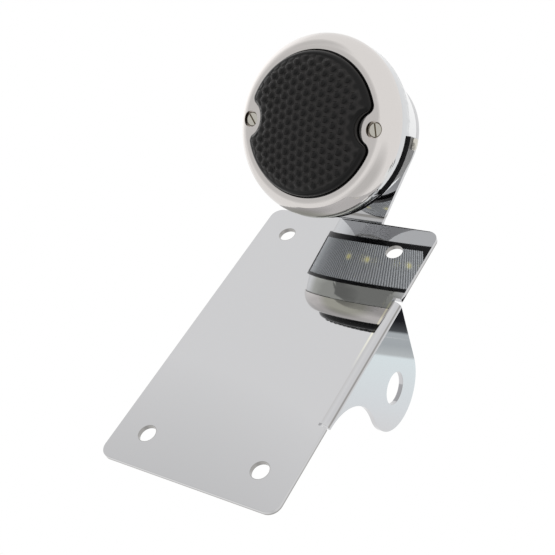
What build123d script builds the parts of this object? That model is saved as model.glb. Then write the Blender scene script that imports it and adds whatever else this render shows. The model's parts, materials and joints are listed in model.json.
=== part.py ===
"""Side-mount licence plate bracket with a round tail lamp on its upper tab.

The frame: origin at the centre of the axle hole, on the outer face of the side ear.
+X points away from that face, +Z is up and the lamp faces -Y, level. The plate hangs
below the lamp and leans, with its lower edge forward.
"""
import os
from math import acos, atan, atan2, cos, degrees, hypot, radians, sin, sqrt, tan

from build123d import *

os.makedirs("parts", exist_ok=True)

# Folded sheet, in the plate's own terms: across, along, and back from its front face
sheet_t = 2.5
fold_r = 1.5
plate_w = 108.0
plate_h = 183.5
plate_corner_r = 6.5
plate_lean = 46.5
plate_hole_r = 4.76
plate_hole_across = 69.85
plate_hole_along = 146.05

# Side ear, folded back from the plate's right edge
ear_stand = 0.4
ear_top = 39.8
ear_bottom = -40.3
relief_w = 2.2
relief_low_w = 1.4
relief_deep = 4.4
axle_r = 8.8
axle_along = 13.1
axle_back = 37.9
lobe_r = 23.2

# Lamp tab, folded forward from the plate's top edge until it stands upright
neck_w = 36.0
tab_head_r = 32.5
lamp_rise = 48.6

# Lamp fixing through the tab
stud_pitch = 36.0
stud_r = 3.0
stud_hole_r = 3.3
stud_grip = 6.0
washer_r = 6.2
washer_t = 1.2
spring_r = 5.2
spring_t = 1.5
nut_flats = 10.0
nut_t = 5.0
stud_proud = 2.0
wire_hole_r = 6.0
grommet_lip_r = 8.0
grommet_lip_t = 1.4
grommet_bore_r = 3.0
pad_t = 1.2
pad_inset = 1.0

# Lamp drum: a cone from the back, then a short barrel under the bezel
lamp_depth = 57.7
drum_back_r = 33.0
crease_r = 46.4
crease_from_front = 20.7
shoulder_r = 47.2
drum_wall = 2.0
drum_floor = 3.0
rim_gap = 0.3
rim_lip_t = 2.0
plinth_from = -101.0
plinth_to = -42.0
plinth_stand = 0.9

# Bezel, pressed from sheet
bezel_t = 1.0
crown_r = 41.2
bezel_bulge = 2.0
crown_fillet = 6.0
crown_inner_fillet = 5.0
skirt_r = 47.8
skirt_h = 10.7
opening_r = 38.2
opening_fillet = 5.0
lug_r = 8.0
screw_out = 37.7
cup_r = 4.4
cup_wall = 0.7

# Slotted bezel screws
screw_r = 1.9
screw_head_r = 3.9
screw_head_t = 1.9
screw_head_round = 0.5
screw_slot_w = 0.9
screw_slot_deep = 0.8
screw_len = 16.0
slot_turn = (130.0, 105.0)
boss_r = 4.4
thread_gap = 0.1

# Tail lens
lens_gap = 0.9
lens_wall = 2.2
lens_rim_h = 3.7
lens_crown_h = 8.0
lens_edge_fillet = 3.2
flange_r = 39.2
flange_t = 2.0
flange_gap = 0.1
gasket_t = 1.5
gasket_inner_r = 36.8
gasket_outer_r = 41.5
bead_pitch = 5.1
bead_groove = 0.5
bead_stand = 0.6
bead_taper = 42.0
bead_field_r = 34.0

# Number plate window in the underside of the cone
window_mid = -90.0
frame_half = 89.0
lens_half = 57.0
frame_front = 21.0
frame_back = 48.2
frame_strip_front = 1.7
frame_strip_back = 3.0
frame_stand = 1.5
window_lens_t = 1.1
window_seat = 1.5
rib_angle = 1.9
rib_stand = 0.45
window_gap = 0.15
clip_inset_angle = 4.5
clip_r = 1.4
clip_head_r = 3.1
clip_head_t = 2.2
clip_head_round = 0.9
clip_len = 6.0
clip_from_front = 34.7

# Light boards
board_t = 1.6
board_r = 33.0
board_from_front = 13.7
post_r = 3.2
post_ring_r = 25.5
post_count = 3
post_turn = 90.0
board_screw_r = 1.4
board_screw_head_r = 2.7
board_screw_head_t = 1.6
board_screw_len = 7.0
led_size = 5.0
led_t = 1.6
led_rings = ((0.0, 1), (9.5, 6), (19.0, 12))
strip_r = 32.0
strip_t = 1.0
strip_inset_angle = 7.0
strip_from_front = 36.0
strip_w = 12.0
strip_led_size = 3.5
strip_led_t = 1.4
strip_led_count = 6
cradle_t = 2.0
cradle_lip = 1.6
cradle_foot_w = 9.0
cradle_screw_at = 25.0
cradle_screw_angle = 30.0
cradle_screw_bite = 1.8

# Where the plate, the tab and the lamp axis lie
lean = radians(plate_lean)
ear_face = plate_w / 2 + ear_stand
fold_out = fold_r + sheet_t
plate_along = Vector(0, sin(lean), cos(lean))
plate_front = Vector(0, -cos(lean), sin(lean))
plate_centre = Vector(-ear_face, 0, 0) - plate_along * axle_along + plate_front * axle_back
fold_set = fold_r * tan(lean / 2)
apex = plate_centre + plate_along * (plate_h / 2 + fold_set)
lamp_x = apex.X
lamp_y = apex.Y
lamp_z = apex.Z + lamp_rise

plate_plane = Plane(origin=plate_centre, x_dir=(1, 0, 0), z_dir=plate_front)
ear_plane = Plane(origin=(0, 0, 0), x_dir=-plate_front, z_dir=(1, 0, 0))
ear_fold_plane = Plane(
    origin=plate_centre + plate_along * ear_bottom, x_dir=(1, 0, 0), z_dir=plate_along
)
tab_plane = Plane(origin=apex, x_dir=(1, 0, 0), z_dir=(0, -1, 0))
tab_fold_plane = Plane(origin=apex - Vector(neck_w / 2, 0, 0), x_dir=(0, 1, 0), z_dir=(1, 0, 0))
lamp_plane = Plane(origin=(lamp_x, lamp_y, lamp_z), x_dir=(1, 0, 0), z_dir=(0, -1, 0))
lamp_axis = Axis((lamp_x, lamp_y, lamp_z), (0, -1, 0))


def radial_plane(angle):
    """A half plane through the lamp axis: sketch x is radius, sketch y is forward."""
    a = radians(angle)
    return Plane(origin=lamp_plane.origin, x_dir=(cos(a), 0, sin(a)), z_dir=(sin(a), 0, -cos(a)))


def polar(radius, angle):
    """A point across the lamp, seen from its front."""
    return (radius * cos(radians(angle)), radius * sin(radians(angle)))


# The folded bracket
fold_line = fold_out - axle_back
ear_up = ear_top - axle_along
ear_down = ear_bottom - axle_along
edge_turn = acos(lobe_r / hypot(fold_line, ear_up))
top_tangent = atan2(ear_up, fold_line) - edge_turn
sweep_r = (fold_line**2 + ear_down**2 - lobe_r**2) / (2 * (lobe_r - fold_line))
sweep_centre = Vector(fold_line + sweep_r, ear_down)
low_tangent = atan2(sweep_centre.Y, sweep_centre.X)
tangent_high = Vector(lobe_r * cos(top_tangent), lobe_r * sin(top_tangent))
tangent_low = Vector(lobe_r * cos(low_tangent), lobe_r * sin(low_tangent))
relief_x = plate_w / 2 - relief_deep
fold_start = ear_face - fold_out

with BuildPart() as plate_bracket:
    with BuildSketch(plate_plane):
        RectangleRounded(plate_w, plate_h, plate_corner_r)
        with BuildLine():
            Polyline(
                (plate_w, ear_top + relief_w),
                (relief_x, ear_top + relief_w),
                (relief_x, ear_top),
                (fold_start, ear_top),
                (fold_start, ear_bottom),
                (relief_x, ear_bottom),
                (relief_x, ear_bottom - relief_low_w),
                (plate_w, ear_bottom - relief_low_w),
                close=True,
            )
        make_face(mode=Mode.SUBTRACT)
        with GridLocations(plate_hole_across, plate_hole_along, 2, 2):
            Circle(plate_hole_r, mode=Mode.SUBTRACT)
    extrude(amount=-sheet_t)
    with BuildSketch(ear_fold_plane):
        with BuildLine():
            bend = CenterArc((fold_start, fold_out), fold_out, -90, 90)
            inner = CenterArc((fold_start, fold_out), fold_r, -90, 90)
            Line(bend @ 0, inner @ 0)
            Line(bend @ 1, inner @ 1)
        make_face()
    extrude(amount=ear_top - ear_bottom)
    with BuildSketch(ear_plane):
        with BuildLine():
            Line((fold_line, ear_down), (fold_line, ear_up))
            Line((fold_line, ear_up), tangent_high)
            ThreePointArc(tangent_high, (lobe_r, 0), tangent_low)
            CenterArc(
                sweep_centre,
                sweep_r,
                degrees(low_tangent) + 180,
                -degrees(low_tangent),
            )
        make_face()
        Circle(axle_r, mode=Mode.SUBTRACT)
    extrude(amount=-sheet_t)
    with BuildSketch(tab_fold_plane):
        with BuildLine():
            near = CenterArc((-fold_r, fold_set), fold_r, -plate_lean, plate_lean)
            far = CenterArc((-fold_r, fold_set), fold_out, -plate_lean, plate_lean)
            Line(near @ 0, far @ 0)
            Line(near @ 1, far @ 1)
        make_face()
    extrude(amount=neck_w)
    with BuildSketch(tab_plane):
        with BuildLine():
            Line((-neck_w / 2, fold_set), (neck_w / 2, fold_set))
            CenterArc((0, lamp_rise), tab_head_r, 0, 360)
        make_hull()
        with Locations((0, lamp_rise)):
            Circle(wire_hole_r, mode=Mode.SUBTRACT)
        with Locations((-stud_pitch / 2, lamp_rise), (stud_pitch / 2, lamp_rise)):
            Circle(stud_hole_r, mode=Mode.SUBTRACT)
    extrude(amount=-sheet_t)
plate_bracket.part.label = "plate_bracket"


# The lamp's shared sections, each size taken forward from the tab's front face
def at_front(h):
    """Height above the tab of a level given from the bezel's opening."""
    return lamp_depth + h


crease_d = at_front(-crease_from_front)
shoulder_d = at_front(-skirt_h - rim_gap)
cone_slope = (crease_r - drum_back_r) / (crease_d - pad_t)
skirt_slope = (skirt_r - crown_r) / skirt_h
bezel_side = bezel_t * sqrt(1 + skirt_slope**2)
flange_top = -bezel_t - flange_gap
rim_h = flange_top - flange_t - gasket_t
cup_deep = -rim_h - bezel_t


def cone_r(d):
    """Outer radius of the drum's cone at a height above the tab."""
    return drum_back_r + cone_slope * (d - pad_t)


def spigot_r(h):
    """Radius that clears the inside of the bezel's skirt."""
    return skirt_r - bezel_side - rim_gap - skirt_slope * (h + skirt_h)


# Drum: cone, barrel and spigot in one casting, with screw bosses, board posts and a plinth
board_d = at_front(-board_from_front)
post_places = [
    polar(post_ring_r, post_turn + 360 * i / post_count) for i in range(post_count)
]
cradle_places = [
    polar(cradle_screw_at, window_mid + side * cradle_screw_angle) for side in (-1, 1)
]
frame_back_d = at_front(-frame_back)
frame_front_d = at_front(-frame_front)
window_back_d = frame_back_d + frame_strip_back
window_front_d = frame_front_d - frame_strip_front
clip_d = at_front(-clip_from_front)
clip_angles = [window_mid + side * (frame_half - clip_inset_angle) for side in (-1, 1)]


def cone_plane(angle):
    """Plane lying on the window frame's outer face, facing away from the cone."""
    turn = radians(angle)
    tilt = atan(cone_slope)
    radius = cone_r(clip_d) + frame_stand / cos(tilt)
    return Plane(
        origin=lamp_plane.from_local_coords(Vector(*polar(radius, angle), clip_d)),
        x_dir=(cos(turn) * sin(tilt), -cos(tilt), sin(turn) * sin(tilt)),
        z_dir=(cos(turn) * cos(tilt), sin(tilt), sin(turn) * cos(tilt)),
    )


with BuildPart() as drum_hollow:
    with BuildSketch(radial_plane(0)):
        with BuildLine():
            Polyline(
                (0, pad_t + drum_floor),
                (cone_r(pad_t + drum_floor) - drum_wall, pad_t + drum_floor),
                (crease_r - drum_wall, crease_d),
                (crease_r - drum_wall, shoulder_d),
                (spigot_r(rim_h) - drum_wall, at_front(rim_h) - rim_lip_t),
                (gasket_inner_r, at_front(rim_h) - rim_lip_t),
                (gasket_inner_r, at_front(rim_h)),
                (0, at_front(rim_h)),
                close=True,
            )
        make_face()
    revolve(axis=lamp_axis)
    with BuildSketch(lamp_plane.offset(crease_d - drum_wall)):
        for side in (-1, 1):
            with Locations((side * screw_out, 0)):
                Circle(boss_r)
            with Locations((side * (screw_out + crease_r) / 2, 0)):
                Rectangle(crease_r - screw_out, 2 * boss_r)
    extrude(amount=lamp_depth, mode=Mode.SUBTRACT)
    with BuildSketch(lamp_plane.offset(pad_t)):
        with Locations(*post_places):
            Circle(post_r)
    extrude(amount=board_d - pad_t, mode=Mode.SUBTRACT)

with BuildPart() as lamp_drum:
    with BuildSketch(radial_plane(0)):
        with BuildLine():
            Polyline(
                (0, pad_t),
                (drum_back_r, pad_t),
                (crease_r, crease_d),
                (shoulder_r, shoulder_d),
                (spigot_r(-skirt_h - rim_gap), shoulder_d),
                (spigot_r(rim_h), at_front(rim_h)),
                (0, at_front(rim_h)),
                close=True,
            )
        make_face()
    revolve(axis=lamp_axis)
    with BuildSketch(radial_plane(plinth_from)):
        with BuildLine():
            Polyline(
                (crease_r - drum_wall / 2, crease_d),
                (crease_r + plinth_stand, crease_d),
                (shoulder_r + plinth_stand, shoulder_d),
                (shoulder_r - drum_wall, shoulder_d),
                close=True,
            )
        make_face()
    revolve(axis=lamp_axis, revolution_arc=plinth_to - plinth_from)
    add(drum_hollow.part, mode=Mode.SUBTRACT)
    with BuildSketch(lamp_plane.offset(at_front(rim_h))):
        with Locations((-screw_out, 0), (screw_out, 0)):
            Circle(screw_r + thread_gap)
    extrude(amount=-screw_len, mode=Mode.SUBTRACT)
    with BuildSketch(lamp_plane.offset(board_d)):
        with Locations(*post_places):
            Circle(board_screw_r + thread_gap)
    extrude(amount=-board_screw_len, mode=Mode.SUBTRACT)
    with BuildSketch(radial_plane(window_mid - lens_half + 2)):
        with BuildLine():
            Polyline(
                (cone_r(window_back_d) - 2 * drum_wall, window_back_d + window_seat),
                (cone_r(window_front_d) + drum_wall, window_back_d + window_seat),
                (cone_r(window_front_d) + drum_wall, window_front_d - window_seat),
                (cone_r(window_back_d) - 2 * drum_wall, window_front_d - window_seat),
                close=True,
            )
        make_face()
    revolve(axis=lamp_axis, revolution_arc=2 * (lens_half - 2), mode=Mode.SUBTRACT)
    with BuildSketch(lamp_plane):
        Circle(wire_hole_r)
        with Locations((-stud_pitch / 2, 0), (stud_pitch / 2, 0)):
            Circle(stud_r + thread_gap)
    extrude(amount=pad_t + drum_floor, mode=Mode.SUBTRACT)
    with BuildSketch(lamp_plane.offset(pad_t + drum_floor)):
        with Locations(*cradle_places):
            Circle(board_screw_r + thread_gap)
    extrude(amount=-cradle_screw_bite - thread_gap, mode=Mode.SUBTRACT)
    for angle in clip_angles:
        with BuildSketch(cone_plane(angle)):
            Circle(clip_r + thread_gap)
        extrude(amount=-clip_len - thread_gap, mode=Mode.SUBTRACT)
lamp_drum.part.label = "lamp_drum"


# Bezel, with its figure-shaped opening and a cup for each screw
def figure(gap, blend):
    """Outline of the opening drawn in by a gap all round, with blended corners."""
    with BuildSketch() as outline:
        Circle(opening_r - gap)
        with Locations((-screw_out, 0), (screw_out, 0)):
            Circle(lug_r + gap, mode=Mode.SUBTRACT)
        fillet(outline.vertices(), blend)
    return outline.sketch


lug_inner = screw_out - lug_r - bezel_t
with BuildPart() as lamp_bezel:
    with BuildSketch(radial_plane(0)) as bezel_section:
        with BuildLine():
            chord = Vector(skirt_r - crown_r, -skirt_h)
            swell = Vector(-chord.Y, chord.X).normalized() * bezel_bulge
            crown = Vector(crown_r, lamp_depth)
            crown_in = Vector(crown_r - bezel_side + skirt_slope * bezel_t, lamp_depth - bezel_t)
            skirt_in = crown + chord - Vector(bezel_side, 0)
            Line((lug_inner, lamp_depth), crown)
            ThreePointArc(crown, crown + chord * 0.5 + swell, crown + chord)
            Line(crown + chord, skirt_in)
            ThreePointArc(skirt_in, (skirt_in + crown_in) * 0.5 + swell, crown_in)
            Line(crown_in, (lug_inner, lamp_depth - bezel_t))
            Line((lug_inner, lamp_depth - bezel_t), (lug_inner, lamp_depth))
        make_face()
        corners = bezel_section.vertices().sort_by(Axis.Y)
        fillet(corners.group_by(Axis.Y)[-1].sort_by(Axis.X)[-1], crown_fillet)
        corners = bezel_section.vertices().sort_by_distance(crown_in)
        fillet(corners[0], crown_inner_fillet)
    revolve(axis=lamp_axis)
    with BuildSketch(lamp_plane.offset(lamp_depth)):
        add(figure(0, opening_fillet))
    extrude(amount=-2 * bezel_t, mode=Mode.SUBTRACT)
    with BuildSketch(lamp_plane.offset(at_front(rim_h))):
        with Locations((-screw_out, 0), (screw_out, 0)):
            Circle(cup_r + cup_wall)
    extrude(amount=cup_deep)
    with BuildSketch(lamp_plane.offset(at_front(-cup_deep))):
        with Locations((-screw_out, 0), (screw_out, 0)):
            Circle(cup_r)
    extrude(amount=lamp_depth, mode=Mode.SUBTRACT)
    with BuildSketch(lamp_plane.offset(lamp_depth)):
        with Locations((-screw_out, 0), (screw_out, 0)):
            Circle(screw_r + rim_gap)
    extrude(amount=-lamp_depth, mode=Mode.SUBTRACT)
lamp_bezel.part.label = "lamp_bezel"


with BuildPart() as bezel_screws:
    with BuildSketch(lamp_plane.offset(at_front(-cup_deep))):
        with Locations((-screw_out, 0), (screw_out, 0)):
            Circle(screw_head_r)
    extrude(amount=screw_head_t)
    fillet(bezel_screws.edges().group_by(Axis.Y)[0], screw_head_round)
    with BuildSketch(lamp_plane.offset(at_front(-cup_deep))):
        with Locations((-screw_out, 0), (screw_out, 0)):
            Circle(screw_r)
    extrude(amount=-screw_len + bezel_t)
    with BuildSketch(lamp_plane.offset(at_front(screw_head_t - cup_deep))):
        with Locations(Location((-screw_out, 0), slot_turn[0]), Location((screw_out, 0), slot_turn[1])):
            Rectangle(2 * screw_head_r, screw_slot_w)
    extrude(amount=-screw_slot_deep, mode=Mode.SUBTRACT)
bezel_screws.part.label = "bezel_screws"


# Tail lens: a domed cap that follows the opening, with a flange under the bezel
def ball_r(reach, sag):
    """Radius of the ball whose cap has this reach and sag."""
    return (reach**2 + sag**2) / (2 * sag)


face_reach = opening_r - lens_gap
face_sag = lens_crown_h - lens_rim_h
face_ball_r = ball_r(face_reach, face_sag)
face_centre_d = at_front(lens_crown_h) - face_ball_r
flange_d = at_front(flange_top - flange_t)


def face_d(radius):
    """Height of the lens face above the tab, at a distance from the lamp axis."""
    return face_centre_d + sqrt(face_ball_r**2 - radius**2)


def bead_centres():
    """Hexagonal lattice in upright columns, kept inside the ring and clear of the lugs."""
    column = bead_pitch * sqrt(3) / 2
    reach = int(bead_field_r / column) + 1
    lug_room = lug_r + lens_gap + bead_pitch * 0.8
    places = []
    for i in range(-reach, reach + 1):
        for j in range(-reach, reach + 1):
            x = i * column
            y = (j + (i % 2) / 2) * bead_pitch
            in_ring = hypot(x, y) < bead_field_r - bead_pitch / 4
            if in_ring and hypot(abs(x) - screw_out, y) > lug_room:
                places.append((x, y))
    return places


with BuildPart() as lens_hollow:
    with BuildSketch(lamp_plane.offset(flange_d)):
        add(figure(lens_gap + lens_wall, opening_fillet - lens_gap))
    extrude(amount=lamp_depth)
    with BuildSketch(radial_plane(0)):
        with Locations((0, face_centre_d)):
            Circle(face_ball_r - lens_wall)
        with Locations((-face_ball_r, face_centre_d)):
            Rectangle(2 * face_ball_r, 2 * face_ball_r, mode=Mode.SUBTRACT)
    revolve(axis=lamp_axis, mode=Mode.INTERSECT)

# Beads: shallow six-sided studs standing on the domed face
bead_r = (bead_pitch - bead_groove) / sqrt(3)
with BuildPart() as bead:
    with BuildSketch(Plane.XZ.offset(-bead_stand)):
        RegularPolygon(radius=bead_r, side_count=6)
    extrude(amount=2 * bead_stand, taper=bead_taper)

bead_places = [
    Location((lamp_x + x, lamp_y - face_d(hypot(x, z)), lamp_z + z)) for x, z in bead_centres()
]
with BuildPart() as tail_lens:
    with BuildSketch(lamp_plane.offset(flange_d)):
        add(figure(lens_gap, opening_fillet - lens_gap))
    extrude(amount=lamp_depth)
    with BuildSketch(radial_plane(0)):
        with Locations((0, face_centre_d)):
            Circle(face_ball_r)
        with Locations((-face_ball_r, face_centre_d)):
            Rectangle(2 * face_ball_r, 2 * face_ball_r, mode=Mode.SUBTRACT)
    revolve(axis=lamp_axis, mode=Mode.INTERSECT)
    face_edges = tail_lens.faces().filter_by(GeomType.SPHERE).sort_by(Axis.Y)[0].edges()
    fillet(face_edges, lens_edge_fillet)
    with BuildSketch(lamp_plane.offset(flange_d)):
        Circle(flange_r)
        with Locations((-screw_out, 0), (screw_out, 0)):
            Circle(cup_r + cup_wall + rim_gap, mode=Mode.SUBTRACT)
    extrude(amount=flange_t)
    add(lens_hollow.part, mode=Mode.SUBTRACT)
    with Locations(*bead_places):
        add(bead.part)
tail_lens.part.label = "tail_lens"


with BuildPart() as lens_gasket:
    with BuildSketch(lamp_plane.offset(at_front(rim_h))):
        Circle(gasket_outer_r)
        add(figure(lens_gap + lens_wall, opening_fillet - lens_gap), mode=Mode.SUBTRACT)
        with Locations((-screw_out, 0), (screw_out, 0)):
            Circle(cup_r + cup_wall + rim_gap, mode=Mode.SUBTRACT)
    extrude(amount=gasket_t)
lens_gasket.part.label = "lens_gasket"


# Plate window: a black frame round the lower cone, a ribbed clear lens and two clips
def cone_band(low_d, high_d, inner, outer):
    """Section of a band lying along the cone, between two stand-offs from it."""
    with BuildLine() as section:
        Polyline(
            (cone_r(low_d) + inner, low_d),
            (cone_r(high_d) + inner, high_d),
            (cone_r(high_d) + outer, high_d),
            (cone_r(low_d) + outer, low_d),
            close=True,
        )
    return section.line


with BuildPart() as window_frame:
    with BuildSketch(radial_plane(window_mid - frame_half)):
        add(cone_band(frame_back_d, frame_front_d, 0, frame_stand))
        make_face()
    revolve(axis=lamp_axis, revolution_arc=2 * frame_half)
    with BuildSketch(radial_plane(window_mid - lens_half)):
        add(cone_band(window_back_d, window_front_d, -drum_wall, 2 * frame_stand))
        make_face()
    revolve(axis=lamp_axis, revolution_arc=2 * lens_half, mode=Mode.SUBTRACT)
    for angle in clip_angles:
        with BuildSketch(cone_plane(angle)):
            Circle(clip_r + thread_gap)
        extrude(amount=-2 * frame_stand, mode=Mode.SUBTRACT)
window_frame.part.label = "window_frame"

with BuildPart() as window_clips:
    for angle in clip_angles:
        with BuildSketch(cone_plane(angle)):
            Circle(clip_head_r)
        extrude(amount=clip_head_t)
        top_edges = window_clips.edges().filter_by(GeomType.CIRCLE)
        fillet(top_edges.sort_by_distance(cone_plane(angle).offset(clip_head_t).origin)[0], clip_head_round)
        with BuildSketch(cone_plane(angle)):
            Circle(clip_r)
        extrude(amount=-clip_len)
window_clips.part.label = "window_clips"


rib_count = int(2 * lens_half / rib_angle)


def ribbed_section(radius):
    """Section of the window lens: an arc inside and a row of ribs outside."""
    half = lens_half - degrees(window_gap / radius)
    ribs = []
    for i in range(2 * rib_count + 1):
        stand = window_lens_t + rib_stand * (i % 2)
        ribs.append(polar(radius + stand, window_mid - half + i * half / rib_count))
    with BuildLine() as section:
        Polyline(*ribs)
        Line(ribs[-1], polar(radius, window_mid + half))
        ThreePointArc(
            polar(radius, window_mid + half),
            polar(radius, window_mid),
            polar(radius, window_mid - half),
        )
        Line(polar(radius, window_mid - half), ribs[0])
    return section.line


with BuildPart() as window_lens:
    for level in (window_back_d + window_gap, window_front_d - window_gap):
        with BuildSketch(lamp_plane.offset(level)):
            add(ribbed_section(cone_r(level)))
            make_face()
    loft(ruled=True)
window_lens.part.label = "window_lens"


# Light boards inside the drum
led_places = [
    polar(ring_r, 360 * i / count + ring_r) for ring_r, count in led_rings for i in range(count)
]

with BuildPart() as tail_led_board:
    with BuildSketch(lamp_plane.offset(board_d)):
        Circle(board_r)
        with Locations(*post_places):
            Circle(board_screw_r + thread_gap, mode=Mode.SUBTRACT)
        for side in (-1, 1):
            with Locations((side * screw_out, 0)):
                Circle(boss_r + 2 * rim_gap, mode=Mode.SUBTRACT)
    extrude(amount=board_t)
tail_led_board.part.label = "tail_led_board"

with BuildPart() as tail_leds:
    with BuildSketch(lamp_plane.offset(board_d + board_t)):
        with Locations(*led_places):
            Rectangle(led_size, led_size)
    extrude(amount=led_t)
tail_leds.part.label = "tail_leds"

with BuildPart() as board_screws:
    with BuildSketch(lamp_plane.offset(board_d + board_t)):
        with Locations(*post_places):
            Circle(board_screw_head_r)
    extrude(amount=board_screw_head_t)
    with BuildSketch(lamp_plane.offset(board_d + board_t)):
        with Locations(*post_places):
            Circle(board_screw_r)
    extrude(amount=-board_screw_len)
board_screws.part.label = "board_screws"

strip_mid_d = at_front(-strip_from_front)
strip_half = lens_half - strip_inset_angle
strip_led_step = 2 * strip_half / strip_led_count
cradle_inner_r = strip_r - strip_t - cradle_t
cradle_low_d = pad_t + drum_floor
cradle_high_d = strip_mid_d + strip_w / 2

with BuildPart() as strip_cradle:
    with BuildSketch(radial_plane(window_mid - strip_half)):
        with Locations((cradle_inner_r, cradle_low_d)):
            Rectangle(cradle_t, cradle_high_d - cradle_low_d, align=(Align.MIN, Align.MIN))
    revolve(axis=lamp_axis, revolution_arc=2 * strip_half)
    with BuildSketch(lamp_plane.offset(cradle_low_d)):
        with Locations(*cradle_places):
            Rectangle(cradle_foot_w, cradle_foot_w)
        Circle(cradle_inner_r + cradle_t / 2, mode=Mode.INTERSECT)
        with Locations(*cradle_places):
            Circle(board_screw_r + thread_gap, mode=Mode.SUBTRACT)
    extrude(amount=cradle_t)
strip_cradle.part.label = "strip_cradle"

with BuildPart() as cradle_screws:
    with BuildSketch(lamp_plane.offset(cradle_low_d + cradle_t)):
        with Locations(*cradle_places):
            Circle(board_screw_head_r)
    extrude(amount=board_screw_head_t)
    with BuildSketch(lamp_plane.offset(cradle_low_d + cradle_t)):
        with Locations(*cradle_places):
            Circle(board_screw_r)
    extrude(amount=-cradle_t - cradle_screw_bite)
cradle_screws.part.label = "cradle_screws"

with BuildPart() as plate_led_strip:
    with BuildSketch(radial_plane(window_mid - strip_half)):
        with Locations((strip_r - strip_t, strip_mid_d)):
            Rectangle(strip_t, strip_w, align=(Align.MIN, Align.CENTER))
    revolve(axis=lamp_axis, revolution_arc=2 * strip_half)
plate_led_strip.part.label = "plate_led_strip"

with BuildPart() as plate_leds:
    for i in range(strip_led_count):
        turn = window_mid + (i - (strip_led_count - 1) / 2) * strip_led_step
        place = Plane(
            origin=lamp_plane.from_local_coords(Vector(*polar(strip_r, turn), strip_mid_d)),
            x_dir=(0, -1, 0),
            z_dir=(cos(radians(turn)), 0, sin(radians(turn))),
        )
        with BuildSketch(place):
            Rectangle(strip_led_size, strip_led_size)
        extrude(amount=strip_led_t)
plate_leds.part.label = "plate_leds"


# Fixing through the tab
stud_places = [(-stud_pitch / 2, 0), (stud_pitch / 2, 0)]
behind_tab = -sheet_t
stack_d = behind_tab - washer_t - spring_t

with BuildPart() as base_pad:
    with BuildSketch(lamp_plane):
        Circle(min(drum_back_r, tab_head_r) - pad_inset)
        with Locations(*stud_places):
            Circle(stud_hole_r, mode=Mode.SUBTRACT)
        Circle(wire_hole_r, mode=Mode.SUBTRACT)
    extrude(amount=pad_t)
base_pad.part.label = "base_pad"

with BuildPart() as fixing_studs:
    with BuildSketch(lamp_plane.offset(stack_d - nut_t - stud_proud)):
        with Locations(*stud_places):
            Circle(stud_r)
    extrude(amount=pad_t + drum_floor + nut_t + stud_proud - stack_d)
    with BuildSketch(lamp_plane.offset(pad_t + drum_floor)):
        with Locations(*stud_places):
            RegularPolygon(radius=nut_flats / 2, side_count=6, major_radius=False)
    extrude(amount=stud_grip / 2)
fixing_studs.part.label = "fixing_studs"

with BuildPart() as fixing_washers:
    with BuildSketch(lamp_plane.offset(behind_tab)):
        with Locations(*stud_places):
            Circle(washer_r)
            Circle(stud_hole_r, mode=Mode.SUBTRACT)
    extrude(amount=-washer_t)
fixing_washers.part.label = "fixing_washers"

with BuildPart() as spring_washers:
    with BuildSketch(lamp_plane.offset(behind_tab - washer_t)):
        with Locations(*stud_places):
            Circle(spring_r)
            Circle(stud_hole_r, mode=Mode.SUBTRACT)
            with Locations((0, spring_r)):
                Rectangle(spring_t, spring_r, mode=Mode.SUBTRACT, rotation=20)
    extrude(amount=-spring_t)
spring_washers.part.label = "spring_washers"

with BuildPart() as fixing_nuts:
    with BuildSketch(lamp_plane.offset(stack_d)):
        with Locations(*stud_places):
            RegularPolygon(radius=nut_flats / 2, side_count=6, major_radius=False)
            Circle(stud_r + thread_gap, mode=Mode.SUBTRACT)
    extrude(amount=-nut_t)
fixing_nuts.part.label = "fixing_nuts"

with BuildPart() as wire_grommet:
    with BuildSketch(radial_plane(0)):
        with BuildLine():
            Polyline(
                (grommet_bore_r, behind_tab - grommet_lip_t),
                (grommet_lip_r, behind_tab - grommet_lip_t),
                (grommet_lip_r, behind_tab),
                (wire_hole_r - thread_gap, behind_tab),
                (wire_hole_r - thread_gap, pad_t + drum_floor),
                (grommet_bore_r, pad_t + drum_floor),
                close=True,
            )
        make_face()
    revolve(axis=lamp_axis)
wire_grommet.part.label = "wire_grommet"

pieces = [
    plate_bracket,
    lamp_drum,
    lamp_bezel,
    bezel_screws,
    tail_lens,
    lens_gasket,
    window_frame,
    window_lens,
    window_clips,
    tail_led_board,
    tail_leds,
    board_screws,
    strip_cradle,
    cradle_screws,
    plate_led_strip,
    plate_leds,
    base_pad,
    fixing_studs,
    fixing_washers,
    spring_washers,
    fixing_nuts,
    wire_grommet,
]
for piece in pieces:
    export_step(piece.part, f"parts/{piece.part.label}.step")
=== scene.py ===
"""Studio scene of a chromed side-mount plate bracket with its round tail lamp."""

import json
from math import atan2, cos, radians, sqrt

import bpy
from mathutils import Matrix, Vector


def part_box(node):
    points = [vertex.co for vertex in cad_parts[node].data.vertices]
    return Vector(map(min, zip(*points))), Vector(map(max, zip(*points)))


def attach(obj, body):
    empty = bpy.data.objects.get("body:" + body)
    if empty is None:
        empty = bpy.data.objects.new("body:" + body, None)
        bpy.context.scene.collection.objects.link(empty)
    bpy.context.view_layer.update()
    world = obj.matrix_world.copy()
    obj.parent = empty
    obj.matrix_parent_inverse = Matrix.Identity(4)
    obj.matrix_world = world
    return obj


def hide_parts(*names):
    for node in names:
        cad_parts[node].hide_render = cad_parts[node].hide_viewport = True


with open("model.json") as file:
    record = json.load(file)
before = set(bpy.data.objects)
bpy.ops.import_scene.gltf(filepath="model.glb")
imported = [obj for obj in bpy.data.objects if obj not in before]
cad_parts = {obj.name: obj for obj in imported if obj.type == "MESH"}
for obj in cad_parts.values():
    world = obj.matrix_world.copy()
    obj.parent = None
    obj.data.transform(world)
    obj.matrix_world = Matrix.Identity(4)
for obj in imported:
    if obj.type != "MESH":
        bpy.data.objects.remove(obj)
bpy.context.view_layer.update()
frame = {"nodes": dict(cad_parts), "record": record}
nodes = frame["nodes"]

MM = 0.001

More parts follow.
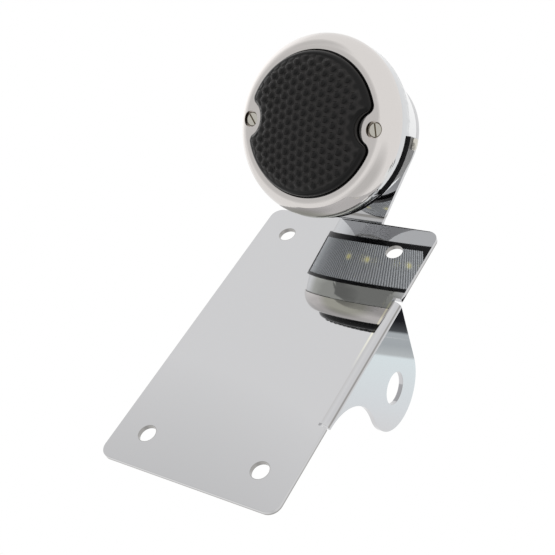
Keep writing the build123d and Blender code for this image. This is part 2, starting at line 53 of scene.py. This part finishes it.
# Camera, solved from the four plate holes and the lamp's rings
CAMERA_AT = Vector((0.22786, -0.46185, 0.11217))
CAMERA_RIGHT = Vector((0.81845, 0.56358, 0.11187))
CAMERA_UP = Vector((-0.15955, 0.03586, 0.98654))
CAMERA_BACK = Vector((0.55198, -0.82528, 0.11927))
CAMERA_LENS = 64.74
SENSOR_WIDTH = 36.0
CLIP_START = 10.0 * MM

# Plated metal: colours, lowest and highest roughness, the range of noise between them, and a
# faint ripple
SHEET = (0.61, 0.61, 0.62)
SHEET_ROUGH = (0.02, 0.04)
CAST = (0.63, 0.64, 0.65)
CAST_ROUGH = (0.04, 0.08)
CAST_RIPPLE = 0.05
BEZEL = (0.68, 0.65, 0.63)
BEZEL_ROUGH = (0.08, 0.12)
STEEL = (0.62, 0.60, 0.54)
STEEL_ROUGH = (0.18, 0.30)
SCREW_ROUGH = (0.16, 0.26)
NOISE_LOW = 0.3
NOISE_HIGH = 0.7
HAZE_SCALE = 35.0
RIPPLE_SCALE = 60.0
RIPPLE_HEIGHT = 0.2 * MM

# Painted shade on the lamp's underside, for its darker reflection where it mirrors the bracket: full
# painted shade below the first height, none above
CAST_SHADE = (91.0 * MM, 97.0 * MM)
CAST_PAINTED_SHADE = (0.60, 0.60, 0.55)
BEZEL_SHADE = (84.5 * MM, 87.0 * MM)
BEZEL_PAINTED_SHADE = (0.72, 0.74, 0.66)

# The plate's size, as in the part's source
PLATE_HALF_W = 54.0 * MM
PLATE_HALF_H = 91.75 * MM
PLATE_CORNER = 6.5 * MM

# Its painted shade: on the walls of its holes, measured out from the bore, and on its rim, measured
# in from the outline, fainter on the front than behind; and how deep the painted shade goes
WALL_FULL = 0.1 * MM
WALL_END = 0.4 * MM
RIM_START = 0.4 * MM
RIM_FULL = 0.1 * MM
RIM_BEHIND = (1.4 * MM, 1.8 * MM)
RIM_FACE_SHARE = 0.15
EDGE_SHADE_DEPTH = 2.6 * MM
EDGE_SHADE_SOFT = 0.2 * MM
EDGE_PAINTED_SHADE = (0.58, 0.565, 0.54)

# A painted highlight, the bright line beside the ear's fold, and the painted reflection shades across
# the fold's width
GLINT_FROM = -5.4 * MM
GLINT_TO = -4.4 * MM
GLINT_SOFT = 0.20 * MM
GLINT_LOW = 14.0 * MM
GLINT_HIGH = 36.0 * MM
GLINT_TINT = (1.55, 1.52, 1.24)
FOLD_LOW = -9.0 * MM
FOLD_HIGH = 45.0 * MM
FOLD_SOFT = 1.0 * MM
FOLD_FROM = -4.4 * MM
FOLD_TO = 0.0
FOLD_STOPS = (
    (0.0, (1.0, 1.0, 1.0)),
    (1.0, (1.0, 1.0, 1.0)),
    (0.10, (0.90, 0.89, 0.88)),
    (0.25, (0.93, 0.93, 0.93)),
    (0.45, (1.0, 1.0, 1.0)),
    (0.70, (0.93, 0.93, 0.94)),
    (0.85, (0.95, 0.95, 0.95)),
    (0.95, (0.85, 0.85, 0.86)),
)

# The bezel screws' heads: the painted shade of their dark ring, and the depths between which the slot
# gets painted shade
HEAD_RIM = 3.45 * MM
HEAD_SOFT = 0.2 * MM
SLOT_FROM = 0.6 * MM
SLOT_FULL = 0.8 * MM
HEAD_SHADE = (0.25, 0.22, 0.18)

# Moulded pieces: the skin's grain, how far it spreads the roughness, and what two of them share
SKIN_SCALE = 900.0
SKIN_HEIGHT = 0.05 * MM
SKIN_SPREAD = 0.2
BLACK = (0.006, 0.006, 0.007)
ACRYLIC_IOR = 1.49
ACRYLIC_ROUGH = 0.08

# The window's ribs, counted in degrees round the lamp as in the part's source, with painted shade at
# their feet and painted light on their crests
RIBS_FROM = -147.0
RIB_STEP = 1.9
RIB_FOOT = 0.10
RIB_TOP = 0.30
RIB_PAINTED_SHADE = (0.30, 0.31, 0.32)
RIB_PAINTED_LIGHT = (0.74, 0.77, 0.79)
FOOT_CLEAR = 0.40
TOP_CLEAR = 0.15

# The window's left end, in degrees from its first rib: a painted black shadow of the frame, and ribs
# that come up slowly
FRAME_SHADOW_END = 8.0
FRAME_SHADOW_SOFT = 0.5
SMOOTH_FROM = 12.0
SMOOTH_TO = 32.0

# The row of small lamps over the plate, in degrees round the lamp: their pitch, and the lit ones
LED_STEP = 16.67
LIT_FROM = -106.7
LIT_TO = -73.3
LIT_LAST = -48.3
LIT_SOFT = 1.0
RESIN = (0.90, 0.80, 0.25)
RESIN_ROUGH = 0.2
RESIN_LIGHT = 3.0

# Painted light on the window: their yellow spots, shifted to where the camera sees the lamps through
# it, and a faint glow all over
WINDOW_RADIUS = 45.0 * MM
WINDOW_PAINTED_GLOW = 0.05
GLOW_REACH = 2.6 * MM
GLOW_CORE = 0.3 * GLOW_REACH
GLOW_SHIFT = 2.6
GLOW_COLOUR = (0.85, 0.75, 0.15)
GLOW_LIGHT = 0.35

# The tail lens's beads, in upright columns as in the part's source, and where its smooth rim and
# the bare ground round its lugs begin
BEAD_PITCH = 5.1 * MM
BEAD_COLUMN = BEAD_PITCH * sqrt(3) / 2
BEAD_FIELD = 34.0 * MM
LUG_OUT = 37.7 * MM
LUG_CLEAR = 11.5 * MM
FIELD_SOFT = 1.0 * MM

# The beads' looks: the shift and reach of the painted shade on one side of each, their swelling and
# their roughness
SHADE_ASIDE = 0.9 * MM
SHADE_DOWN = 0.3 * MM
SHADE_FROM = 0.18 * BEAD_PITCH
SHADE_TO = 0.45 * BEAD_PITCH
# The lens's own black, also the painted shade on the beads, and the painted light on the rest of each
# bead
LENS_BLACK_AND_BEAD_SHADE = (0.0035, 0.0032, 0.0032)
BEAD_PAINTED_LIGHT = (0.020, 0.0185, 0.018)
SWELL = 0.6
SWELL_HEIGHT = 0.8 * MM
BEAD_ROUGH = 0.25
LENS_GLOSS = 0.2

# Eased edges of the bracket, the drum and the tail lens
BRACKET_EASE = 0.35 * MM
DRUM_EASE = 0.25 * MM
LENS_EASE = 0.30 * MM
MERGE_REACH = 0.002 * MM
FLAT_ANGLE = radians(0.5)
SMOOTH_ANGLE = radians(30)
SHARP_ANGLE = radians(40)

# Dimmer and brighter parts of the room: direction, inner and outer angle in degrees, and light
LOBES = (
    ((-0.573, -0.817, 0.03), 8, 30, 0.72),
    ((0.50, -0.40, -0.76), 15, 45, 0.68),
    ((-0.56, -0.55, 0.62), 8, 24, 0.72),
    ((-0.92, 0.30, 0.25), 10, 35, 1.35),
)

# What the ear mirrors, a light card below the split and a dark one above it, from bottom to top
CARD_LIGHT = 1.25
CARD_SPLIT = -33.0 * MM
LIGHT_AT = (0.169, 0.313)
LIGHT_WIDTH = 100.0 * MM
LIGHT_HEIGHT = 87.0 * MM
LIGHT_STOPS = (
    (0.0, (1.0, 1.0, 1.0)),
    (1.0, (0.575, 0.615, 0.635)),
    (0.28, (1.02, 1.06, 1.08)),
    (0.80, (1.05, 1.15, 1.17)),
    (0.825, (0.69, 0.73, 0.74)),
    (0.93, (0.55, 0.59, 0.61)),
)
DARK_AT = (0.159, 0.3195)
DARK_SIDE = 36.0 * MM
DARK_STOPS = (
    (0.0, (0.575, 0.615, 0.635)),
    (1.0, (0.015, 0.015, 0.018)),
    (0.11, (0.59, 0.63, 0.65)),
    (0.17, (0.10, 0.107, 0.113)),
    (0.42, (0.02, 0.02, 0.024)),
)


def middle(name):
    """Middle of a CAD node's box."""
    low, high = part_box(name)
    return (Vector(low) + Vector(high)) / 2


def mount(name):
    """A mount of the part, from its record."""
    return next(place for place in frame["record"]["mounts"] if place["name"] == name)


def new_material(name):
    """A new material with nodes."""
    material = bpy.data.materials.new(name)
    material.use_nodes = True
    return material


def insides(material):
    """A material's node tree and its surface shader."""
    return material.node_tree, material.node_tree.nodes["Principled BSDF"]


def feed(tree, socket, value):
    """Give a socket a number, a colour or another node's result."""
    if isinstance(value, bpy.types.NodeSocket):
        tree.links.new(value, socket)
    elif isinstance(value, (int, float)):
        socket.default_value = value
    else:
        socket.default_value = (*value, 1)


def maths(tree, operation, *inputs):
    """One arithmetic step on numbers and other steps' results."""
    step = tree.nodes.new("ShaderNodeMath")
    step.operation = operation
    for socket, value in zip(step.inputs, inputs):
        feed(tree, socket, value)
    return step.outputs["Value"]


def spread(tree, source, from_low, from_high, low, high):
    """Stretch a value from one range onto another, and hold it there."""
    stretch = tree.nodes.new("ShaderNodeMapRange")
    feed(tree, stretch.inputs["Value"], source)
    feed(tree, stretch.inputs["From Min"], from_low)
    feed(tree, stretch.inputs["From Max"], from_high)
    feed(tree, stretch.inputs["To Min"], low)
    feed(tree, stretch.inputs["To Max"], high)
    return stretch.outputs["Result"]


def band(tree, source, start, end, soft):
    """1 where a value lies between start and end, fading over a soft edge."""
    rise = spread(tree, source, start - soft, start + soft, 0.0, 1.0)
    fall = spread(tree, source, end - soft, end + soft, 1.0, 0.0)
    return maths(tree, "MINIMUM", rise, fall)


def distance(tree, across, along):
    """Length of a step with these two parts."""
    squares = [maths(tree, "MULTIPLY", way, way) for way in (across, along)]
    return maths(tree, "SQRT", maths(tree, "ADD", *squares))


def blend(tree, share, low, high, mode="MIX"):
    """A colour between two, by a share from 0 to 1."""
    mix = tree.nodes.new("ShaderNodeMix")
    mix.data_type = "RGBA"
    mix.blend_type = mode
    feed(tree, mix.inputs["Factor"], share)
    feed(tree, mix.inputs["A"], low)
    feed(tree, mix.inputs["B"], high)
    return mix.outputs["Result"]


def tinted(tree, share, colour, tint):
    """A colour, times a tint where the share is 1."""
    return blend(tree, share, colour, tint, "MULTIPLY")


def graded(tree, source, stops):
    """A colour along a value from 0 to 1, the first stop at 0 and the second at 1."""
    grade = tree.nodes.new("ShaderNodeValToRGB")
    steps = grade.color_ramp.elements
    for step, (share, colour) in enumerate(stops):
        point = steps[step] if step < 2 else steps.new(share)
        point.color = (*colour, 1)
    feed(tree, grade.inputs["Fac"], source)
    return grade.outputs["Color"]


def object_place(tree):
    """The three coordinates of a point on the piece."""
    place = tree.nodes.new("ShaderNodeTexCoord")
    split = tree.nodes.new("ShaderNodeSeparateXYZ")
    feed(tree, split.inputs["Vector"], place.outputs["Object"])
    return split.outputs["X"], split.outputs["Y"], split.outputs["Z"]


def object_noise(tree, scale, detail=3.0):
    """A noise that is fixed to the piece."""
    place = tree.nodes.new("ShaderNodeTexCoord")
    noise = tree.nodes.new("ShaderNodeTexNoise")
    feed(tree, noise.inputs["Scale"], scale)
    feed(tree, noise.inputs["Detail"], detail)
    feed(tree, noise.inputs["Vector"], place.outputs["Object"])
    return noise.outputs["Fac"]


def along_way(tree, coordinate, way):
    """How far a texture coordinate reaches along a direction."""
    place = tree.nodes.new("ShaderNodeTexCoord")
    along = tree.nodes.new("ShaderNodeVectorMath")
    along.operation = "DOT_PRODUCT"
    along.inputs[1].default_value = way
    feed(tree, along.inputs[0], place.outputs[coordinate])
    return along.outputs["Value"]


def off_plane(tree, point, way):
    """How far the piece's surface lies from the plane through a point and square to a direction."""
    reach = maths(tree, "SUBTRACT", along_way(tree, "Object", way), way.dot(point))
    return maths(tree, "ABSOLUTE", reach)


def from_hub(tree):
    """How far a point on the piece lies to the right of the lamp's axis, and above it."""
    x, _, z = object_place(tree)
    hub = middle("tail_lens")
    return maths(tree, "SUBTRACT", x, hub.x), maths(tree, "SUBTRACT", z, hub.z)


def raise_by(tree, shader, source, strength, height):
    """Raise the surface by a value."""
    bump = tree.nodes.new("ShaderNodeBump")
    feed(tree, bump.inputs["Strength"], strength)
    feed(tree, bump.inputs["Distance"], height)
    feed(tree, bump.inputs["Height"], source)
    feed(tree, shader.inputs["Normal"], bump.outputs["Normal"])


def roughen(tree, shader, noise, low, high):
    """Roughness from low to high, in patches."""
    feed(tree, shader.inputs["Roughness"], spread(tree, noise, NOISE_LOW, NOISE_HIGH, low, high))


def chrome(name, colour, rough, ripple=0.0):
    """Plated metal: a mirror with faint haze in patches, rippled where asked."""
    material = new_material(name)
    tree, shader = insides(material)
    feed(tree, shader.inputs["Base Color"], colour)
    feed(tree, shader.inputs["Metallic"], 1.0)
    roughen(tree, shader, object_noise(tree, HAZE_SCALE), *rough)
    if ripple:
        raise_by(tree, shader, object_noise(tree, RIPPLE_SCALE, detail=1.0), ripple, RIPPLE_HEIGHT)
    return material


def plate_edge_shade(tree):
    """Where the plate gets painted shade: 1 on the walls of its four holes and on its rim, less on
    the rim's front.
    """
    seat, hole = mount("plate_seat"), mount("plate_hole_lower_left")
    centre, front = Vector(seat["pos_m"]), Vector(seat["axis"])
    right = Vector((1, 0, 0))
    up = front.cross(right)
    across, along, back = [off_plane(tree, centre, way) for way in (right, up, front)]
    hole_at = Vector(hole["pos_m"]) - centre
    aside = maths(tree, "SUBTRACT", across, abs(hole_at.dot(right)))
    away = maths(tree, "SUBTRACT", along, abs(hole_at.dot(up)))
    bore = hole["dims"]["r_mm"] * MM
    wall = spread(tree, distance(tree, aside, away), bore + WALL_FULL, bore + WALL_END, 1.0, 0.0)
    past_side = maths(tree, "SUBTRACT", across, PLATE_HALF_W - PLATE_CORNER)
    past_end = maths(tree, "SUBTRACT", along, PLATE_HALF_H - PLATE_CORNER)
    corner = [maths(tree, "MAXIMUM", past, 0.0) for past in (past_side, past_end)]
    outline = distance(tree, *corner)
    rim = spread(tree, outline, PLATE_CORNER - RIM_START, PLATE_CORNER - RIM_FULL, 0.0, 1.0)
    behind = spread(tree, back, *RIM_BEHIND, RIM_FACE_SHARE, 1.0)
    on_plate = spread(tree, back, EDGE_SHADE_DEPTH, EDGE_SHADE_DEPTH + EDGE_SHADE_SOFT, 1.0, 0.0)
    edges = maths(tree, "MAXIMUM", wall, maths(tree, "MULTIPLY", rim, behind))
    return maths(tree, "MULTIPLY", edges, on_plate)


def bent_sheet_chrome():
    """The bracket's chrome: painted shade on its rims and hole walls, and a painted highlight and
    painted reflection bands along the ear's fold.
    """
    material = chrome("sheet_chrome", SHEET, SHEET_ROUGH)
    tree, shader = insides(material)
    x, _, z = object_place(tree)
    # Painted highlight beside the fold, painted reflection bands across it, and painted shade on the
    # rims and hole walls
    line = band(tree, x, GLINT_FROM, GLINT_TO, GLINT_SOFT)
    height = spread(tree, z, GLINT_LOW, GLINT_HIGH, 0.0, 1.0)
    beside_ear = band(tree, z, FOLD_LOW, FOLD_HIGH, FOLD_SOFT)
    share = maths(tree, "MULTIPLY", line, maths(tree, "MULTIPLY", height, beside_ear))
    across = spread(tree, x, FOLD_FROM, FOLD_TO, 0.0, 1.0)
    lit = tinted(tree, share, SHEET, GLINT_TINT)
    folded = tinted(tree, beside_ear, lit, graded(tree, across, FOLD_STOPS))
    feed(tree, shader.inputs["Base Color"], tinted(tree, plate_edge_shade(tree), folded, EDGE_PAINTED_SHADE))
    return material


def chrome_painted_dark_below(name, colour, rough, ripple, heights, tint):
    """Chrome with painted shade below, standing in for the darker reflection where it faces the
    bracket.
    """
    material = chrome(name, colour, rough, ripple)
    tree, shader = insides(material)
    _, _, z = object_place(tree)
    share = spread(tree, z, *heights, 1.0, 0.0)
    feed(tree, shader.inputs["Base Color"], tinted(tree, share, colour, tint))
    return material


def slotted_steel():
    """Screw heads with painted shade: a dark ring round the edge and a dark slot."""
    material = chrome("slotted_steel", STEEL, SCREW_ROUGH)
    tree, shader = insides(material)
    across, along = from_hub(tree)
    aside = maths(tree, "SUBTRACT", maths(tree, "ABSOLUTE", across), LUG_OUT)
    rim = spread(tree, distance(tree, aside, along), HEAD_RIM - HEAD_SOFT, HEAD_RIM, 0.0, 1.0)
    _, y, _ = object_place(tree)
    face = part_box("bezel_screws")[0][1]
    deep = spread(tree, y, face + SLOT_FROM, face + SLOT_FULL, 0.0, 1.0)
    slot = maths(tree, "MULTIPLY", deep, maths(tree, "SUBTRACT", 1.0, rim))
    edge = maths(tree, "MULTIPLY", rim, maths(tree, "SUBTRACT", 1.0, deep))
    share = maths(tree, "MAXIMUM", edge, slot)
    feed(tree, shader.inputs["Base Color"], tinted(tree, share, STEEL, HEAD_SHADE))
    return material


def moulded(name, colour, rough, grain=0.1, gloss=0.5):
    """Moulded plastic or rubber, grained where asked."""
    material = new_material(name)
    tree, shader = insides(material)
    feed(tree, shader.inputs["Base Color"], colour)
    feed(tree, shader.inputs["IOR"], ACRYLIC_IOR)
    feed(tree, shader.inputs["Specular IOR Level"], gloss)
    skin = object_noise(tree, SKIN_SCALE)
    roughen(tree, shader, skin, rough * (1 - SKIN_SPREAD), rough * (1 + SKIN_SPREAD))
    if grain:
        raise_by(tree, shader, skin, grain, SKIN_HEIGHT)
    return material


def turn_about_lamp(tree):
    """Angle of a point round the lamp's axis, in radians, 0 at the lamp's right side."""
    across, along = from_hub(tree)
    return maths(tree, "ARCTAN2", along, across)


def lit_lamps(tree, turn):
    """1 round the lamps of the row that are lit, 0 round the others."""
    soft = radians(LIT_SOFT)
    left = band(tree, turn, radians(LIT_FROM), radians(LIT_TO), soft)
    near, far = radians(LIT_LAST - LED_STEP / 2), radians(LIT_LAST + LED_STEP / 2)
    return maths(tree, "MAXIMUM", left, band(tree, turn, near, far, soft))


def glowing_resin():
    """Resin over the diodes, which glows at the lit lamps' angles round the lamp."""
    material = moulded("led_resin", RESIN, RESIN_ROUGH, grain=0.0)
    tree, shader = insides(material)
    lit = maths(tree, "MULTIPLY", lit_lamps(tree, turn_about_lamp(tree)), RESIN_LIGHT)
    feed(tree, shader.inputs["Emission Color"], RESIN)
    feed(tree, shader.inputs["Emission Strength"], lit)
    return material


def window_glow(tree, turn):
    """A painted glow spot on the window before each lit lamp."""
    _, y, _ = object_place(tree)
    aside = maths(tree, "SUBTRACT", turn, radians(LIT_LAST + GLOW_SHIFT))
    aside = maths(tree, "PINGPONG", aside, radians(LED_STEP / 2))
    aside = maths(tree, "MULTIPLY", aside, WINDOW_RADIUS)
    back = maths(tree, "SUBTRACT", y, middle("plate_leds").y)
    spot = spread(tree, distance(tree, aside, back), GLOW_CORE, GLOW_REACH, 1.0, 0.0)
    return maths(tree, "MULTIPLY", spot, lit_lamps(tree, turn))


def ribbed_acrylic():
    """Clear acrylic with painted light and shade on its ribs, a painted black shadow of the frame at
    its left end, and painted glow, faint all over and in spots before the lit lamps behind it.
    """
    material = new_material("ribbed_acrylic")
    tree, shader = insides(material)
    turn = turn_about_lamp(tree)
    from_end = maths(tree, "SUBTRACT", turn, radians(RIBS_FROM))
    step = radians(RIB_STEP)
    wave = maths(tree, "PINGPONG", from_end, step / 2)
    crest = spread(tree, wave, step * RIB_FOOT, step * RIB_TOP, 0.0, 1.0)
    smooth = spread(tree, from_end, radians(SMOOTH_TO), radians(SMOOTH_FROM), 0.0, 1.0)
    crest = maths(tree, "MAXIMUM", crest, smooth)
    # Painted black shadow of the frame at the window's left end
    frame_shadow = spread(tree, from_end, radians(FRAME_SHADOW_END), radians(FRAME_SHADOW_END + FRAME_SHADOW_SOFT), 1.0, 0.0)
    # Painted shade at the ribs' feet and painted light on their crests
    ribs = blend(tree, crest, RIB_PAINTED_SHADE, RIB_PAINTED_LIGHT)
    open_share = maths(tree, "SUBTRACT", 1.0, frame_shadow)
    clear = spread(tree, crest, 0.0, 1.0, FOOT_CLEAR, TOP_CLEAR)
    # Painted glow: faint over the whole window, bright in the spots before the lit lamps
    glow = window_glow(tree, turn)
    light = spread(tree, glow, 0.0, 1.0, WINDOW_PAINTED_GLOW, GLOW_LIGHT)
    looks = {
        "Base Color": blend(tree, frame_shadow, ribs, BLACK),
        "Transmission Weight": maths(tree, "MULTIPLY", clear, open_share),
        "Emission Color": blend(tree, glow, RIB_PAINTED_LIGHT, GLOW_COLOUR),
        "Emission Strength": maths(tree, "MULTIPLY", light, open_share),
        "Roughness": ACRYLIC_ROUGH,
        "IOR": ACRYLIC_IOR,
    }
    for socket, value in looks.items():
        feed(tree, shader.inputs[socket], value)
    return material


def bead_distance(tree, aside, up):
    """Distance from the nearest bead's middle, each bead's middle moved by aside and up."""
    from_right, from_level = from_hub(tree)
    rows = []
    for shift_x, shift_z in ((0, 0), (BEAD_COLUMN, BEAD_PITCH / 2)):
        across = maths(tree, "SUBTRACT", from_right, shift_x + aside)
        along = maths(tree, "SUBTRACT", from_level, shift_z + up)
        across = maths(tree, "WRAP", across, BEAD_COLUMN, -BEAD_COLUMN)
        along = maths(tree, "WRAP", along, BEAD_PITCH / 2, -BEAD_PITCH / 2)
        rows.append(distance(tree, across, along))
    return maths(tree, "MINIMUM", *rows)


def bead_field(tree):
    """1 where the tail lens has beads, 0 on its smooth rim and round the lugs."""
    across, along = from_hub(tree)
    ring = spread(tree, distance(tree, across, along), BEAD_FIELD, BEAD_FIELD + FIELD_SOFT, 1.0, 0.0)
    lug = maths(tree, "SUBTRACT", maths(tree, "ABSOLUTE", across), LUG_OUT)
    clear = spread(tree, distance(tree, lug, along), LUG_CLEAR - FIELD_SOFT, LUG_CLEAR, 0.0, 1.0)
    return maths(tree, "MINIMUM", ring, clear)


def beaded_acrylic():
    """Smoked acrylic whose beads swell in the middle and get painted shade on one side."""
    material = new_material("beaded_acrylic")
    tree, shader = insides(material)
    field = bead_field(tree)
    swell = spread(tree, bead_distance(tree, 0.0, 0.0), 0.0, BEAD_PITCH / 2, 1.0, 0.0)
    dome = maths(tree, "MULTIPLY", maths(tree, "SQRT", swell), field)
    raise_by(tree, shader, dome, SWELL, SWELL_HEIGHT)
    shade = bead_distance(tree, SHADE_ASIDE, -SHADE_DOWN)
    bead_light_share = maths(tree, "MULTIPLY", spread(tree, shade, SHADE_FROM, SHADE_TO, 0.0, 1.0), field)
    rough = spread(tree, field, 0.0, 1.0, ACRYLIC_ROUGH, BEAD_ROUGH)
    feed(tree, shader.inputs["Base Color"], blend(tree, bead_light_share, LENS_BLACK_AND_BEAD_SHADE, BEAD_PAINTED_LIGHT))
    feed(tree, shader.inputs["Roughness"], rough)
    feed(tree, shader.inputs["Specular IOR Level"], LENS_GLOSS)
    return material


plated_steel = chrome("plated_steel", STEEL, STEEL_ROUGH)
black_rubber = moulded("black_rubber", (0.02, 0.02, 0.02), rough=0.6, grain=0.3)
board_lacquer = moulded("board_lacquer", (0.55, 0.57, 0.55), rough=0.35)
led_resin = glowing_resin()

FINISH = {
    "plate_bracket": bent_sheet_chrome(),
    "lamp_drum": chrome_painted_dark_below("cast_chrome", CAST, CAST_ROUGH, CAST_RIPPLE, CAST_SHADE, CAST_PAINTED_SHADE),
    "lamp_bezel": chrome_painted_dark_below("bezel_chrome", BEZEL, BEZEL_ROUGH, 0.0, BEZEL_SHADE, BEZEL_PAINTED_SHADE),
    "bezel_screws": slotted_steel(),
    "tail_lens": beaded_acrylic(),
    "lens_gasket": black_rubber,
    "window_frame": moulded("black_plastic", BLACK, rough=0.35, gloss=0.2),
    "window_lens": ribbed_acrylic(),
    "window_clips": plated_steel,
    "tail_led_board": board_lacquer,
    "tail_leds": led_resin,
    "board_screws": plated_steel,
    "strip_cradle": moulded("white_plastic", (0.7, 0.7, 0.68), rough=0.4),
    "cradle_screws": plated_steel,
    "plate_led_strip": board_lacquer,
    "plate_leds": led_resin,
    "base_pad": black_rubber,
    "fixing_studs": plated_steel,
    "fixing_washers": plated_steel,
    "spring_washers": plated_steel,
    "fixing_nuts": plated_steel,
    "wire_grommet": black_rubber,
}
for name, finish in FINISH.items():
    nodes[name].data.materials.clear()
    nodes[name].data.materials.append(finish)


def eased_copy(name, width, flat=False):
    """A merged copy of a CAD piece with its sharp edges eased, shown in its place."""
    source = nodes[name]
    piece = bpy.data.objects.new(name + "_eased", source.data.copy())
    bpy.context.collection.objects.link(piece)
    piece.matrix_world = source.matrix_world
    bpy.ops.object.select_all(action="DESELECT")
    piece.select_set(True)
    bpy.context.view_layer.objects.active = piece
    bpy.ops.object.mode_set(mode="EDIT")
    bpy.ops.mesh.select_all(action="SELECT")
    bpy.ops.mesh.remove_doubles(threshold=MERGE_REACH)
    if flat:
        bpy.ops.mesh.dissolve_limited(angle_limit=FLAT_ANGLE)
    bpy.ops.object.mode_set(mode="OBJECT")
    bpy.ops.object.shade_smooth_by_angle(angle=SMOOTH_ANGLE)
    ease = piece.modifiers.new("ease", "BEVEL")
    ease.limit_method = "ANGLE"
    ease.angle_limit = SHARP_ANGLE
    ease.width = width
    ease.segments = 2
    ease.harden_normals = True
    bpy.ops.object.modifier_apply(modifier="ease")
    if flat:
        even = piece.modifiers.new("even", "WEIGHTED_NORMAL")
        even.weight = 100
        even.keep_sharp = True
        bpy.ops.object.modifier_apply(modifier="even")
    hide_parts(name)
    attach(piece, "root")


eased_copy("plate_bracket", BRACKET_EASE, flat=True)
eased_copy("tail_lens", LENS_EASE)
eased_copy("lamp_drum", DRUM_EASE)


def room_lobe(tree, axis, inner, outer, light):
    """Light of the room round a direction: its own inside the inner angle, 1 past the outer."""
    along = along_way(tree, "Generated", Vector(axis).normalized())
    return spread(tree, along, cos(radians(outer)), cos(radians(inner)), 1.0, light)


def studio():
    """White behind the part, and what its chrome sees: a room with dimmer and brighter parts."""
    world = bpy.data.worlds.new("studio_white")
    bpy.context.scene.world = world
    world.use_nodes = True
    tree = world.node_tree
    backdrop = tree.nodes["Background"]
    room = tree.nodes.new("ShaderNodeBackground")
    for background in (backdrop, room):
        feed(tree, background.inputs["Color"], (1, 1, 1))
    light = 1.0
    for lobe in LOBES:
        light = maths(tree, "MULTIPLY", room_lobe(tree, *lobe), light)
    feed(tree, room.inputs["Strength"], light)
    path = tree.nodes.new("ShaderNodeLightPath")
    choose = tree.nodes.new("ShaderNodeMixShader")
    feed(tree, choose.inputs["Fac"], path.outputs["Is Camera Ray"])
    feed(tree, choose.inputs[1], room.outputs["Background"])
    feed(tree, choose.inputs[2], backdrop.outputs["Background"])
    feed(tree, tree.nodes["World Output"].inputs["Surface"], choose.outputs["Shader"])


def glow_card(name, stops, place, width, height):
    """A card of light, graded from bottom to top, that only mirrors and clear pieces see."""
    bpy.ops.mesh.primitive_plane_add(size=1.0)
    card = bpy.context.active_object
    card.name = name
    card.location = place
    card.rotation_euler = (radians(90), 0, atan2(place[1], place[0]) - radians(90))
    card.scale = (width, height, 1)
    material = new_material(name)
    tree, shader = insides(material)
    tree.nodes.remove(shader)
    light = tree.nodes.new("ShaderNodeEmission")
    _, height_share, _ = object_place(tree)
    dimmed = [(share, [part / CARD_LIGHT for part in colour]) for share, colour in stops]
    grade = graded(tree, maths(tree, "ADD", height_share, 0.5), dimmed)
    feed(tree, light.inputs["Strength"], CARD_LIGHT)
    feed(tree, light.inputs["Color"], grade)
    feed(tree, tree.nodes["Material Output"].inputs["Surface"], light.outputs["Emission"])
    card.data.materials.append(material)
    card.visible_camera = False
    card.visible_diffuse = False
    card.visible_shadow = False


def camera():
    """The photograph's view of the part."""
    data = bpy.data.cameras.new("studio_camera")
    data.lens = CAMERA_LENS
    data.sensor_width = SENSOR_WIDTH
    data.clip_start = CLIP_START
    eye = bpy.data.objects.new("studio_camera", data)
    bpy.context.collection.objects.link(eye)
    turn = Matrix((CAMERA_RIGHT, CAMERA_UP, CAMERA_BACK)).transposed().to_4x4()
    eye.matrix_world = Matrix.Translation(CAMERA_AT) @ turn
    bpy.context.scene.camera = eye


studio()
light_place = (*LIGHT_AT, CARD_SPLIT - LIGHT_HEIGHT / 2)
dark_place = (*DARK_AT, CARD_SPLIT + DARK_SIDE / 2)
glow_card("light_card", LIGHT_STOPS, light_place, LIGHT_WIDTH, LIGHT_HEIGHT)
glow_card("dark_card", DARK_STOPS, dark_place, DARK_SIDE, DARK_SIDE)
camera()
bpy.context.scene.view_settings.view_transform = "Standard"
